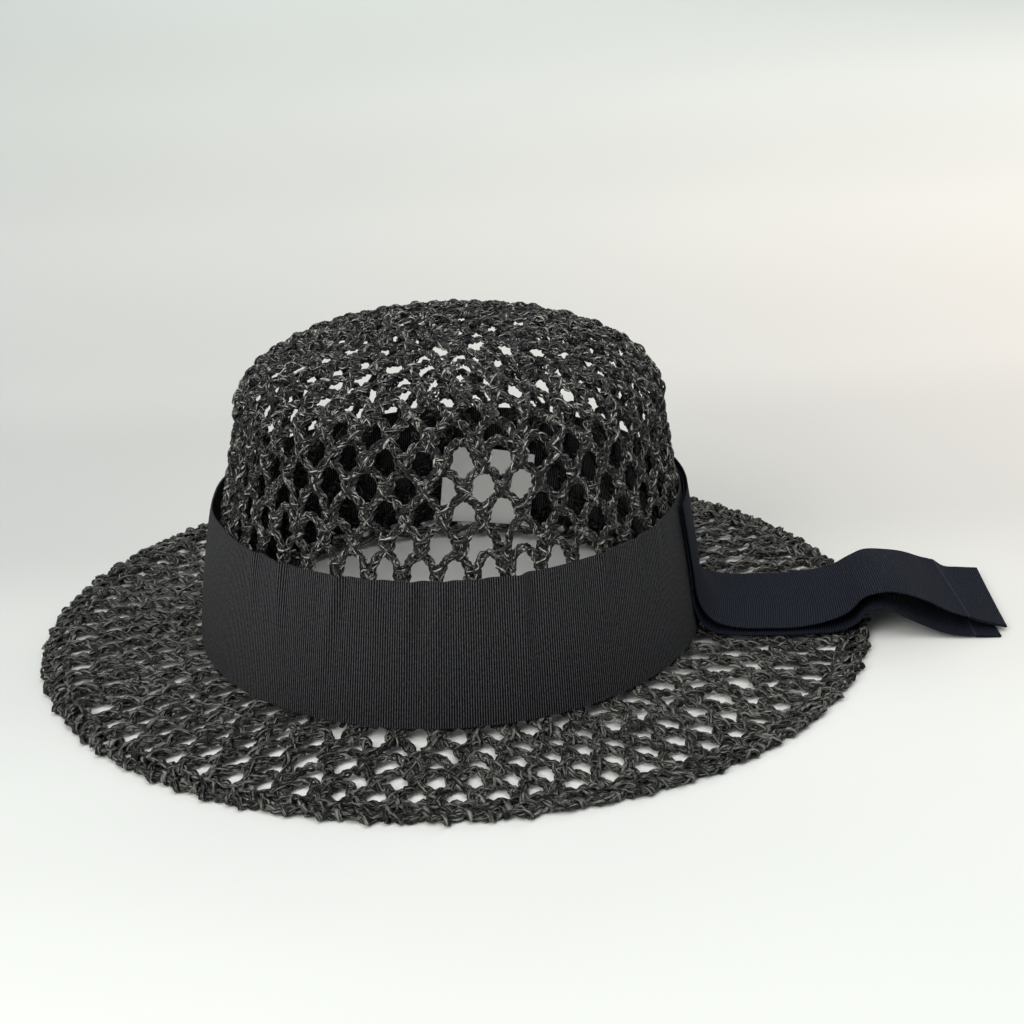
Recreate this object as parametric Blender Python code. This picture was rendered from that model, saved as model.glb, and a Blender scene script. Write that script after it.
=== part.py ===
# Boater hat of coarse knotted paper yarn, with a wide ribbon band and two ribbon tails at the back.
# Metres, +Z up, +X towards the back of the hat where the tails lie.
# Origin in the middle of the whole, tails included, at the height of the surface that the brim rests on.
import math
import bpy
import bmesh
from mathutils import Matrix, Vector

MM = 0.001
CLEARANCE = 0.0003
# From the middle of the whole to the crown's axis; every table below is measured from that axis
CROWN_AXIS_X = -0.02873

# Net of the crown
NET_THICKNESS = 0.0024
CROWN_HALF_LENGTH = 0.0990
CROWN_HALF_WIDTH = 0.0911
CROWN_TOP_HALF_LENGTH = 0.0822
CROWN_TOP_HALF_WIDTH = 0.0802
CROWN_FOOT_HEIGHT = 0.0053
SHOULDER_HEIGHT = 0.0949
CROWN_HEIGHT = 0.1245
CROWN_LEAN = 0.0031
SHOULDER_POWER_OUT = 2.33
SHOULDER_POWER_UP = 2.65
STRAND_WIDTH = 0.0066
SIDE_CELLS = 18
SIDE_ROWS = 3
SIDE_ROW_PITCH = 0.0200
PLAIN_WALL = 0.0565
TOP_RING_GAPS = (0.0035, 0.0215, 0.0195)
TOP_OUTER_CELLS = 12
TOP_INNER_CELLS = 6

# Net of the brim
BRIM_CENTRE_X = 0.0020
BRIM_HALF_LENGTH = 0.1668
BRIM_HALF_WIDTH = 0.1480
EDGE_WIDTH = 0.0106
EDGE_THICKNESS = 0.0044
BRIM_INNER_MARGIN = 0.0025
BRIM_FOOT_MIDDLE = 0.0036
BRIM_RIM_MIDDLE = 0.0023
BRIM_CELLS = 24
BRIM_ROWS = 2
BRIM_FIRST_ROW = 0.330
BRIM_ROW_PITCH = 0.360
EDGE_SAMPLES = 80

# Ribbon band
RIBBON_THICKNESS = 0.0010
BAND_FOOT = 0.0053
BAND_HEIGHT = 0.0560
BAND_SAMPLES = 72
# Angle round the hat in degrees, how far the band's top edge stands off the crown in metres
BAND_SLACK = (
    (0.0, 0.0),
    (30.0, 0.0),
    (60.0, 0.0006),
    (120.0, 0.0008),
    (165.0, 0.0022),
    (190.0, 0.0034),
    (220.0, 0.0026),
    (260.0, 0.0010),
    (330.0, 0.0),
    (360.0, 0.0),
)

# Ribbon tails: where they hang down the band, in millimetres
# height, near edge's y, far edge's y
UPPER_HANG = (
    (60.6, -29.0, 23.0),
    (46.0, -29.0, 23.0),
    (30.0, -29.0, 23.0),
    (20.0, -29.2, 22.8),
)
LOWER_HANG = (
    (59.4, -27.0, 24.0),
    (46.0, -27.5, 24.0),
    (28.0, -28.5, 23.4),
    (15.0, -30.0, 22.2),
)
UPPER_HANG_OFF = 0.0048
LOWER_HANG_OFF = 0.0034
# Ribbon tails: where they lie, middle of the ribbon in millimetres at stations down to the end,
# x measured from the back of the crown's foot
# near x, near y, near z, middle x, middle y, middle z, far x, far y, far z
UPPER_TAIL = (
    (0.9, -29.6, 13.4, 6.4, -3.8, 12.8, 4.0, 22.0, 12.2),
    (4.0, -30.2, 10.4, 9.2, -4.6, 9.6, 7.0, 21.0, 8.9),
    (8.6, -31.2, 8.7, 13.6, -6.0, 8.1, 11.8, 19.6, 7.5),
    (14.4, -32.6, 8.0, 19.2, -7.2, 7.5, 18.4, 18.2, 6.9),
    (24.4, -33.6, 7.8, 29.0, -8.0, 7.3, 29.0, 17.4, 6.75),
    (37.0, -34.0, 7.8, 41.4, -8.4, 7.2, 42.4, 17.0, 6.7),
    (47.7, -33.8, 9.5, 51.2, -8.2, 8.6, 52.8, 17.4, 7.3),
    (56.4, -33.0, 12.6, 59.4, -7.4, 10.9, 61.4, 18.2, 8.8),
    (63.3, -31.5, 18.2, 66.4, -6.0, 15.4, 68.8, 19.6, 11.9),
    (71.3, -31.0, 19.6, 73.6, -5.6, 17.6, 75.0, 20.0, 14.2),
    (79.1, -31.0, 18.4, 82.0, -5.6, 16.8, 84.2, 20.0, 13.6),
    (89.1, -31.0, 14.3, 90.8, -5.6, 13.6, 92.0, 20.0, 12.0),
    (97.2, -31.5, 9.9, 98.4, -6.0, 10.0, 99.2, 19.6, 9.4),
    (104.9, -32.0, 7.0, 104.6, -6.4, 7.4, 104.3, 19.2, 7.7),
    (107.4, -32.2, 6.2, 107.6, -6.8, 5.9, 107.9, 18.6, 5.4),
    (112.9, -32.5, 4.6, 113.8, -7.2, 4.5, 115.4, 18.4, 4.3),
    (120.2, -33.0, 2.7, 121.6, -7.4, 3.0, 123.2, 18.4, 3.5),
)
LOWER_TAIL = (
    (-0.2, -31.0, 8.9, 4.8, -5.0, 8.6, 2.4, 21.0, 8.4),
    (3.6, -32.2, 6.5, 8.6, -6.4, 6.3, 6.4, 19.6, 6.1),
    (9.2, -33.4, 5.8, 14.2, -8.0, 5.7, 12.6, 17.8, 5.6),
    (22.2, -35.0, 5.6, 26.8, -9.6, 5.5, 27.0, 15.8, 5.45),
    (41.5, -35.6, 5.4, 45.2, -10.4, 5.3, 46.6, 15.0, 5.3),
    (53.4, -35.2, 5.9, 56.4, -10.0, 5.5, 58.0, 15.4, 5.35),
    (59.8, -34.6, 8.4, 62.4, -9.2, 7.2, 64.4, 16.2, 5.9),
    (64.2, -33.8, 12.9, 67.0, -8.4, 11.0, 69.4, 17.0, 8.2),
    (71.0, -33.5, 13.5, 73.6, -8.2, 12.2, 75.8, 17.2, 9.9),
    (77.0, -34.0, 10.7, 79.8, -8.8, 10.0, 82.2, 16.6, 8.6),
    (86.0, -34.7, 6.2, 88.2, -9.4, 6.1, 90.2, 16.0, 5.7),
    (95.2, -36.0, 2.7, 96.8, -10.6, 2.9, 98.4, 14.8, 3.1),
    (105.1, -37.0, 1.0, 106.2, -11.6, 1.1, 107.4, 13.8, 1.2),
    (116.6, -37.5, 0.6, 117.2, -12.0, 0.6, 118.0, 13.4, 0.6),
)
TAIL_COLUMNS = 6

# Care label, hanging inside the crown on the far side
LABEL_THICKNESS = 0.0008
LABEL_STAND_OFF = 0.0008
# Corner x and z in millimetres: top left, top right, bottom right, bottom left
LABEL_CORNERS = (
    (0.4, 44.5),
    (39.8, 41.6),
    (37.0, 8.0),
    (-3.4, 10.6),
)
LABEL_COLUMNS = 5
LABEL_ROWS = 3


def clear_scene():
    for old in list(bpy.data.objects):
        bpy.data.objects.remove(old, do_unlink=True)


def principled(name, colour, roughness):
    material = bpy.data.materials.new(name)
    material.use_nodes = True
    shader = material.node_tree.nodes["Principled BSDF"]
    shader.inputs["Base Color"].default_value = (*colour, 1.0)
    shader.inputs["Roughness"].default_value = roughness
    return material


def add_object(name, mesh_work, material, thickness):
    bmesh.ops.recalc_face_normals(mesh_work, faces=mesh_work.faces)
    mesh = bpy.data.meshes.new(name)
    mesh_work.to_mesh(mesh)
    mesh_work.free()
    mesh.transform(Matrix.Translation((CROWN_AXIS_X, 0.0, 0.0)))
    mesh.materials.append(material)
    mesh.polygons.foreach_set("use_smooth", [True] * len(mesh.polygons))
    made = bpy.data.objects.new(name, mesh)
    bpy.context.scene.collection.objects.link(made)
    if thickness:
        wall = made.modifiers.new("wall", "SOLIDIFY")
        wall.thickness = thickness
        wall.offset = 0.0
        wall.use_even_offset = False
    return made


def crown_profile():
    """Rows of (distance up the wall, half-length, half-width, height, lean), from the foot to the tip."""
    rows = []
    for step in range(13):
        share = step / 12
        rows.append((
            CROWN_HALF_LENGTH + (CROWN_TOP_HALF_LENGTH - CROWN_HALF_LENGTH) * share,
            CROWN_HALF_WIDTH + (CROWN_TOP_HALF_WIDTH - CROWN_HALF_WIDTH) * share,
            CROWN_FOOT_HEIGHT + (SHOULDER_HEIGHT - CROWN_FOOT_HEIGHT) * share,
            CROWN_LEAN * share,
        ))
    for step in range(1, 61):
        turn = math.pi / 2 * step / 60
        out = max(math.cos(turn), 0.0) ** (2 / SHOULDER_POWER_OUT)
        rise = math.sin(turn) ** (2 / SHOULDER_POWER_UP)
        rows.append((
            CROWN_TOP_HALF_LENGTH * out,
            CROWN_TOP_HALF_WIDTH * out,
            SHOULDER_HEIGHT + (CROWN_HEIGHT - SHOULDER_HEIGHT) * rise,
            CROWN_LEAN,
        ))
    travelled = 0.0
    profile = []
    for index, row in enumerate(rows):
        if index:
            before = rows[index - 1]
            travelled += math.hypot(row[0] - before[0], row[2] - before[2])
        profile.append((travelled, *row))
    return profile


PROFILE = crown_profile()
WALL_SLOPE = PROFILE[12][0] / (SHOULDER_HEIGHT - CROWN_FOOT_HEIGHT)


def on_profile(distance):
    distance = min(max(distance, 0.0), PROFILE[-1][0])
    for low, high in zip(PROFILE, PROFILE[1:]):
        if distance <= high[0]:
            share = (distance - low[0]) / (high[0] - low[0])
            return [a + (b - a) * share for a, b in zip(low[1:], high[1:])]
    return list(PROFILE[-1][1:])


def crown_middle(turn, distance):
    length, width, height, lean = on_profile(distance)
    return Vector((lean + length * math.cos(turn), width * math.sin(turn), height))


def crown_point(turn, distance, off=0.0):
    """A point on the crown's middle surface, moved outwards along the surface's normal by off."""
    here = crown_middle(turn, distance)
    if off == 0.0:
        return here
    along = crown_middle(turn + 0.01, distance) - crown_middle(turn - 0.01, distance)
    up = crown_middle(turn, distance + MM) - crown_middle(turn, distance - MM)
    return here + along.cross(up).normalized() * off


def brim_point(turn, share):
    """A point on the brim's middle surface: share 0 at the head opening, 1 at the edge's inner side."""
    inner_length = CROWN_HALF_LENGTH - BRIM_INNER_MARGIN
    inner_width = CROWN_HALF_WIDTH - BRIM_INNER_MARGIN
    outer_length = BRIM_HALF_LENGTH - EDGE_WIDTH - CLEARANCE
    outer_width = BRIM_HALF_WIDTH - EDGE_WIDTH - CLEARANCE
    return Vector((
        BRIM_CENTRE_X * share + (inner_length + (outer_length - inner_length) * share) * math.cos(turn),
        (inner_width + (outer_width - inner_width) * share) * math.sin(turn),
        BRIM_FOOT_MIDDLE + (BRIM_RIM_MIDDLE - BRIM_FOOT_MIDDLE) * share,
    ))


def pierced_cell(work, corners):
    """Faces of one cell of the net: a rim half a strand wide round an open middle."""
    places = [corner.co for corner in corners]
    centre = sum(places, Vector()) / len(places)
    face_normal = Vector()
    for index, place in enumerate(places):
        face_normal += (place - centre).cross(places[(index + 1) % len(places)] - centre)
    face_normal.normalize()
    inner = []
    for index, place in enumerate(places):
        before = (place - places[index - 1]).normalized()
        after = (places[(index + 1) % len(places)] - place).normalized()
        in_before = face_normal.cross(before)
        in_after = face_normal.cross(after)
        move = (in_before + in_after) / (1.0 + in_before.dot(in_after))
        inner.append(work.verts.new(place + move * STRAND_WIDTH / 2))
    for index in range(len(corners)):
        following = (index + 1) % len(corners)
        work.faces.new((corners[index], corners[following], inner[following], inner[index]))


def honeycomb(work, place, cells, rows, first, pitch, split_uprights):
    """Staggered rows of six-sided cells. Returns the zigzag of vertices below and above them."""
    columns = 2 * cells
    made = {}

    def vertex(column, level):
        key = (column % columns, level)
        if key not in made:
            turn = 2 * math.pi * key[0] / columns
            made[key] = work.verts.new(place(turn, first + level * pitch / 3))
        return made[key]

    for row in range(rows):
        for cell in range(cells):
            middle = 2 * cell + row % 2
            level = 3 * row
            outline = [(0, -2), (1, -1), (1, 0), (1, 1), (0, 2), (-1, 1), (-1, 0), (-1, -1)]
            if not split_uprights:
                outline = [spot for spot in outline if spot[1] != 0]
            pierced_cell(work, [vertex(middle + side, level + up) for side, up in outline])
    below = [vertex(column, -2 + column % 2) for column in range(columns)]
    top_level = 3 * (rows - 1)
    offset = (rows - 1) % 2
    above = [vertex(column, top_level + 2 - (column + offset) % 2) for column in range(columns)]
    return below, above


def ring(work, place, samples, distance, turned=0.0):
    start = math.radians(turned)
    return [work.verts.new(place(start + 2 * math.pi * step / samples, distance)) for step in range(samples)]


def join_rings(work, lower, upper):
    for index in range(len(lower)):
        following = (index + 1) % len(lower)
        work.faces.new((lower[index], lower[following], upper[following], upper[index]))


def cell_ring(work, lower, upper, cells, lower_start, sides):
    """One row of wide cells between two rings that may have different numbers of vertices."""
    lower_step = len(lower) // cells
    upper_step = len(upper) // cells
    for cell in range(cells):
        following = (cell + 1) % cells
        low = [lower[(lower_start + cell * lower_step + k) % len(lower)] for k in range(lower_step + 1)]
        high = [upper[(cell * upper_step + k) % len(upper)] for k in range(upper_step + 1)]
        pierced_cell(work, low + [sides[following]] + high[::-1] + [sides[cell]])


def make_crown(material):
    work = bmesh.new()
    first = PLAIN_WALL + 2 * SIDE_ROW_PITCH / 3 + STRAND_WIDTH / 4
    below, above = honeycomb(work, crown_point, SIDE_CELLS, SIDE_ROWS, first, SIDE_ROW_PITCH, True)
    foot = ring(work, crown_point, 2 * SIDE_CELLS, 0.0)
    wall_top = ring(work, crown_point, 2 * SIDE_CELLS, PLAIN_WALL - STRAND_WIDTH / 2)
    join_rings(work, foot, wall_top)
    join_rings(work, wall_top, below)
    level = first + (SIDE_ROWS - 1) * SIDE_ROW_PITCH + 2 * SIDE_ROW_PITCH / 3
    half_cell = 180.0 / TOP_OUTER_CELLS
    rings = []
    samples = (2 * SIDE_CELLS, 2 * TOP_OUTER_CELLS, 2 * TOP_INNER_CELLS)
    for gap, count, turned in zip(TOP_RING_GAPS, samples, (0.0, 0.0, half_cell)):
        level += gap
        rings.append((level, ring(work, crown_point, count, level, turned)))
    join_rings(work, above, rings[0][1])
    rows = (
        (TOP_OUTER_CELLS, 0, 0.0),
        (TOP_INNER_CELLS, 1, half_cell),
    )
    for index, (cells, lower_start, turned) in enumerate(rows):
        lower_level, lower = rings[index]
        upper_level, upper = rings[index + 1]
        sides = ring(work, crown_point, cells, (lower_level + upper_level) / 2, turned)
        cell_ring(work, lower, upper, cells, lower_start, sides)
    tip = work.verts.new(crown_point(0.0, PROFILE[-1][0]))
    last = rings[-1][1]
    for index in range(len(last)):
        work.faces.new((last[index], last[(index + 1) % len(last)], tip))
    return add_object("crown", work, material, NET_THICKNESS)


def make_brim(material):
    work = bmesh.new()
    below, above = honeycomb(
        work, brim_point, BRIM_CELLS, BRIM_ROWS, BRIM_FIRST_ROW, BRIM_ROW_PITCH, False)
    inner = ring(work, brim_point, 2 * BRIM_CELLS, 0.0)
    outer = ring(work, brim_point, 2 * BRIM_CELLS, 1.0)
    join_rings(work, inner, below)
    join_rings(work, above, outer)
    return add_object("brim", work, material, NET_THICKNESS)


def make_edge(material):
    """The brim's dense finishing round, flat underneath."""
    across = EDGE_WIDTH
    up = EDGE_THICKNESS
    section = (
        (0.00, 0.25),
        (0.12, 0.00),
        (0.86, 0.00),
        (0.97, 0.25),
        (1.00, 0.52),
        (0.90, 0.85),
        (0.66, 1.00),
        (0.24, 1.00),
        (0.00, 0.80),
    )
    work = bmesh.new()
    loops = []
    for step in range(EDGE_SAMPLES):
        turn = 2 * math.pi * step / EDGE_SAMPLES
        loop = []
        for out, rise in section:
            length = BRIM_HALF_LENGTH - across * (1.0 - out)
            width = BRIM_HALF_WIDTH - across * (1.0 - out)
            loop.append(work.verts.new((
                BRIM_CENTRE_X + length * math.cos(turn), width * math.sin(turn), up * rise)))
        loops.append(loop)
    for index, loop in enumerate(loops):
        following = loops[(index + 1) % len(loops)]
        join_rings(work, loop, following)
    return add_object("brim_edge", work, material, 0.0)


def slack_at(turn):
    degrees = math.degrees(turn) % 360.0
    for (low, low_slack), (high, high_slack) in zip(BAND_SLACK, BAND_SLACK[1:]):
        if degrees <= high:
            share = (degrees - low) / (high - low)
            share = share * share * (3 - 2 * share)
            return low_slack + (high_slack - low_slack) * share
    return BAND_SLACK[-1][1]


def make_band(material):
    work = bmesh.new()
    base_off = NET_THICKNESS / 2 + CLEARANCE + RIBBON_THICKNESS / 2
    loops = []
    for share in (0.0, 0.5, 1.0):
        distance = (BAND_FOOT - CROWN_FOOT_HEIGHT + BAND_HEIGHT * share) * WALL_SLOPE
        loop = []
        for step in range(BAND_SAMPLES):
            turn = 2 * math.pi * step / BAND_SAMPLES
            loop.append(work.verts.new(crown_point(turn, distance, base_off + slack_at(turn) * share ** 2)))
        loops.append(loop)
    join_rings(work, loops[0], loops[1])
    join_rings(work, loops[1], loops[2])
    return add_object("hat_band", work, material, RIBBON_THICKNESS)


def hanging_station(height, near_y, far_y, off):
    """Near, middle and far point of a ribbon that lies against the band at this height."""
    distance = (height * MM - CROWN_FOOT_HEIGHT) * WALL_SLOPE
    width = on_profile(distance)[1] + off
    spots = []
    for y in (near_y, (near_y + far_y) / 2, far_y):
        spots.append(crown_point(math.asin(y * MM / width), distance, off))
    return spots


def make_tail(name, hang, hang_off, table, material):
    """A ribbon through its stations, bowed across its width through the middle point."""
    work = bmesh.new()
    back = Vector((CROWN_HALF_LENGTH, 0.0, 0.0))
    stations = [hanging_station(*row, hang_off) for row in hang]
    for row in table:
        stations.append([back + Vector(row[first:first + 3]) * MM for first in (0, 3, 6)])
    loops = []
    for near, middle, far in stations:
        control = middle * 2 - (near + far) / 2
        line = []
        for column in range(TAIL_COLUMNS + 1):
            share = column / TAIL_COLUMNS
            point = near * (1 - share) ** 2 + control * 2 * share * (1 - share) + far * share ** 2
            line.append(work.verts.new(point))
        loops.append(line)
    for line, following in zip(loops, loops[1:]):
        for column in range(TAIL_COLUMNS):
            work.faces.new((line[column], line[column + 1], following[column + 1], following[column]))
    return add_object(name, work, material, RIBBON_THICKNESS)


def make_label(material):
    work = bmesh.new()
    top_left, top_right, bottom_right, bottom_left = [Vector((x, 0.0, z)) * MM for x, z in LABEL_CORNERS]
    loops = []
    for row in range(LABEL_ROWS + 1):
        down = row / LABEL_ROWS
        line = []
        for column in range(LABEL_COLUMNS + 1):
            across = column / LABEL_COLUMNS
            top = top_left.lerp(top_right, across)
            bottom = bottom_left.lerp(bottom_right, across)
            spot = top.lerp(bottom, down)
            length, width, _, lean = on_profile(spot.z - CROWN_FOOT_HEIGHT)
            off = NET_THICKNESS / 2 + LABEL_STAND_OFF + LABEL_THICKNESS / 2
            reach = math.sqrt(1.0 - ((spot.x - lean) / (length - off)) ** 2)
            spot.y = (width - off) * reach
            line.append(work.verts.new(spot))
        loops.append(line)
    for line, following in zip(loops, loops[1:]):
        for column in range(LABEL_COLUMNS):
            work.faces.new((line[column], line[column + 1], following[column + 1], following[column]))
    return add_object("care_label", work, material, LABEL_THICKNESS)


def main():
    clear_scene()
    make_crown(principled("crown_yarn", (0.022, 0.023, 0.026), 0.5))
    make_brim(principled("brim_yarn", (0.022, 0.023, 0.026), 0.5))
    make_edge(principled("edge_yarn", (0.020, 0.021, 0.024), 0.5))
    make_band(principled("band_ribbon", (0.010, 0.010, 0.014), 0.8))
    upper_ribbon = principled("upper_tail_ribbon", (0.010, 0.010, 0.015), 0.8)
    make_tail("tail_upper", UPPER_HANG, UPPER_HANG_OFF, UPPER_TAIL, upper_ribbon)
    lower_ribbon = principled("lower_tail_ribbon", (0.010, 0.010, 0.015), 0.8)
    make_tail("tail_lower", LOWER_HANG, LOWER_HANG_OFF, LOWER_TAIL, lower_ribbon)
    make_label(principled("label_cloth", (0.75, 0.76, 0.78), 0.7))


main()
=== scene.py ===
# Boater hat of coarse knotted paper yarn, with a grosgrain band, two ribbon tails and a blank care label.
# Lengths in this file are in millimetres from the crown's axis unless a name or a comment says metres.
import math

import bmesh
import bpy
import numpy as np
from bpy.props import FloatProperty, IntProperty, PointerProperty, StringProperty
from bpy.types import Operator, Panel, PropertyGroup
from mathutils import Matrix, Vector


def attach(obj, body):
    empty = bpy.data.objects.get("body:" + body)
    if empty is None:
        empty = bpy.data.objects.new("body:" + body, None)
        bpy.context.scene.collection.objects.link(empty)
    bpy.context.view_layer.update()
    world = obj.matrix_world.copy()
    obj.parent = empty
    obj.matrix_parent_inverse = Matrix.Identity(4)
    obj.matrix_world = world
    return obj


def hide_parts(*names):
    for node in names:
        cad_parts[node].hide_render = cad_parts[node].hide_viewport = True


bl_info = {
    "name": "Boater hat",
    "version": (1, 0, 0),
    "blender": (4, 5, 0),
    "location": "View3D > Sidebar > Boater hat",
    "description": "Builds the yarn net, ribbon and label of a boater hat around its packed model",
    "category": "Object",
}

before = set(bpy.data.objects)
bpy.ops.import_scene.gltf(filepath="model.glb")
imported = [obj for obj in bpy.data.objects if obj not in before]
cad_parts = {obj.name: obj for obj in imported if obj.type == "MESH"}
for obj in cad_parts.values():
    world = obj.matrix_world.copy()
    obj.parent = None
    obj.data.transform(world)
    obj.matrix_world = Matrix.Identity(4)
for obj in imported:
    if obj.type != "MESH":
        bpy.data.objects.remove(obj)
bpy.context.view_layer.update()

MM = 0.001
CROWN_AXIS_X = -28.73

# Crown's middle surface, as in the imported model: foot, shoulder and tip
CROWN_HALF_LENGTH = 99.0
CROWN_HALF_WIDTH = 91.1
CROWN_TOP_HALF_LENGTH = 82.2
CROWN_TOP_HALF_WIDTH = 80.2
CROWN_FOOT_HEIGHT = 5.3
SHOULDER_HEIGHT = 94.9
CROWN_HEIGHT = 124.5
CROWN_LEAN = 3.1
SHOULDER_POWER_OUT = 2.33
SHOULDER_POWER_UP = 2.65
SHOULDER_STEPS = 90
WALL_STEPS = 12

# Brim's middle surface
BRIM_CENTRE_X = 2.0
BRIM_HALF_LENGTH = 166.8
BRIM_HALF_WIDTH = 148.0
EDGE_WIDTH = 10.9
BRIM_INNER_MARGIN = 2.5
BRIM_FOOT_MIDDLE = 3.6
BRIM_RIM_MIDDLE = 2.3
EDGE_MIDDLE = 2.2

# Rounds of the crown's net from the foot to the tip: arch tops' distance from the tip, arches
CROWN_ROUNDS = (
    (176.8, 44),
    (165.6, 44),
    (154.4, 44),
    (143.2, 44),
    (132.0, 44),
    (121.0, 43),
    (110.2, 41),
    (99.8, 38),
    (89.8, 37),
    (80.2, 36),
    (70.8, 34),
    (61.2, 30),
    (51.4, 26),
    (41.6, 21),
    (31.8, 16),
    (22.2, 11),
    (13.0, 6),
)
HIDDEN_ROUNDS = 4
SIDE_ROUNDS = 9
TIP_ROUNDS = (8.6, 3.4)
TIP_POINTS = 40
# Height of the first feet, how far later feet pass the arch tops, how far tops and feet stray
CROWN_START = 0.5
CROWN_GAP = 1.3
CROWN_JITTER = 0.5
FOOT_JITTER = 0.08
# Half an arch from its foot to its top, as shares across and up: legs run up side by side, then part
LEG_LINE = (
    (0.0, 0.0),
    (0.15, 0.02),
    (0.23, 0.12),
    (0.23, 0.34),
    (0.25, 0.50),
    (0.36, 0.67),
    (0.54, 0.83),
    (0.75, 0.95),
    (1.0, 1.0),
)
LEGS_PART = 0.5
LEG_WEIGHTS = (0.75, 1.0)
ARCH_SAMPLES = 36
EASINGS = 5
# Rounds of the brim's net from the edge to the head opening: share of the way out, arches
BRIM_ROUNDS = (
    (0.79, 69),
    (0.595, 64),
    (0.40, 58),
    (0.205, 51),
    (-0.05, 45),
)
OUTER_ROUNDS = 2
BRIM_START = 0.985
BRIM_GAP = 0.026
BRIM_JITTER = 0.012
OPENING_SHARE = -0.06
OPENING_POINTS = 200

# Brim's edge: each rope's distance from the rim, reach, stitch and wave
EDGE_ROPES = ((4.2, 0.75, 0.8, 1.9), (9.6, 0.7, 1.0, 0.6))
# Each ring of knobs on it: distance from the rim, wave, half a loop's length and height
EDGE_LOOPS = ((3.6, 1.9, 2.2, 1.5), (7.0, 1.0, 2.9, 1.3))
EDGE_KNOBS = 144
EDGE_SCALLOPS = 72
EDGE_POINTS = 800

# Width of the bars, as shares of the plait's reach
CROWN_BAR = 0.62
TOP_BAR = 1.17 * CROWN_BAR
TIP_BAR = 0.8
BRIM_BAR = 0.76
# Unevenness of a plait: height of each random wave, and its length in points along the strand
STITCH_DRIFT = (0.7, 9.0)
SWAY = (0.25, 8.0)
SWING_CHANGE = (0.12, 4.0)
RISE_CHANGE = (0.15, 3.0)
ROLL_CHANGE = (0.8, 3.0)
WIDTH_CHANGE = (0.25, 3.0)
CORE_CHANGE = (0.1, 4.0)
CORE_DEPTH = 0.3
CROSSING_LAG = 0.6
LOOP_POINTS = 10
LOOP_SHIFT = 0.6
LOOP_SKEW = 0.5
# Every strand starts at its own place in this length of yarn, so that no two show the same folds
YARN_LENGTH = 400.0
SMALL_TURN = 0.004

# Care label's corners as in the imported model, x and z: top left, top right, bottom right, bottom left
LABEL_CORNERS = ((0.4, 44.5), (39.8, 41.6), (36.7, 4.4), (-3.7, 7.0))
LABEL_OFF = 2.4
LABEL_BULGE = 0.5
LABEL_WALL = 0.4
LABEL_ROWS = 16
LABEL_COLUMNS = 20
LABEL_SHADE = 0.92
WEAVE_PER_MM = 1.5

# Band: angle in degrees, how far its top edge stands off the crown, how far its lower half bulges
BAND_SLACK = (
    (0.0, 0.0, 0.0),
    (30.0, 0.0, 0.0),
    (60.0, 0.6, 0.0),
    (120.0, 0.8, 0.3),
    (165.0, 2.2, 1.4),
    (190.0, 3.4, 1.9),
    (220.0, 2.6, 1.2),
    (260.0, 1.0, 0.2),
    (330.0, 0.0, 0.0),
    (360.0, 0.0, 0.0),
)
# Soft folds down from the band's top edge: angle in degrees, height, length, lean in degrees
BAND_FOLDS = (
    (218.0, 0.9, 26.0, 1.0),
    (227.0, 1.3, 38.0, 1.5),
    (243.0, 1.4, 44.0, -4.0),
    (251.0, 1.1, 26.0, 2.0),
    (260.0, 1.5, 42.0, -2.0),
    (267.0, 1.2, 36.0, -2.5),
    (275.0, 1.0, 24.0, 1.0),
    (284.0, 1.9, 52.0, 2.0),
    (306.0, 1.3, 34.0, -1.5),
    (317.0, 1.0, 34.0, 1.0),
    (326.0, 1.0, 26.0, -1.0),
)
BAND_FOOT = 5.3
BAND_HEIGHT = 56.0
BAND_OFF = 2.0
BAND_WALL = 0.6
BAND_ROWS = 541
BAND_COLUMNS = 17
# A fold's width, and the hollow beside it: how far off, how wide, share of the fold's height
FOLD_WIDTH = 2.4
HOLLOW_BESIDE = 4.2
HOLLOW_WIDTH = 2.2
HOLLOW_SHARE = 0.5
# The top edge puckers only where no tail presses on it, between two angles in radians
BAND_PUCKER = 0.3
PUCKER_FROM = 0.5
PUCKER_TO = 5.8
# Blender's wave texture has one band to this much of its input
WAVE_UNIT = 2 * math.pi / 20
FUZZ_PER_MM = 0.9
# Pressed crease of a hem: half its width, how strongly the painted sheen along it shows, and how many times
# paler than the ribbon that painted sheen is
CREASE_REACH = 0.4
CREASE_SHEEN = 0.5
CREASE_TONE = 14.0

# Tails where they hang down the band: height, near edge's y, far edge's y
UPPER_HANG = (
    (60.6, -29.0, 23.0),
    (46.0, -29.0, 23.0),
    (30.0, -29.0, 23.0),
    (20.0, -29.2, 22.8),
)
LOWER_HANG = (
    (59.4, -27.0, 24.0),
    (46.0, -27.5, 24.0),
    (28.0, -28.5, 23.4),
    (15.0, -30.0, 22.2),
)
UPPER_HANG_OFF = 4.8
LOWER_HANG_OFF = 3.4
TAIL_WALL = 0.45
TAIL_ROWS = 181
TAIL_COLUMNS = 13
# Hems: depth of each tail's, half the gap inside the fold, and the ridge that the raw edge raises
UPPER_HEM = 17.5
LOWER_HEM = 9.5
HEM_FOLD = 0.29
HEM_STEPS = 5
HEM_RIDGE = 0.5
HEM_RISE = 1.6
HEM_FALL = 6.0
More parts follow.
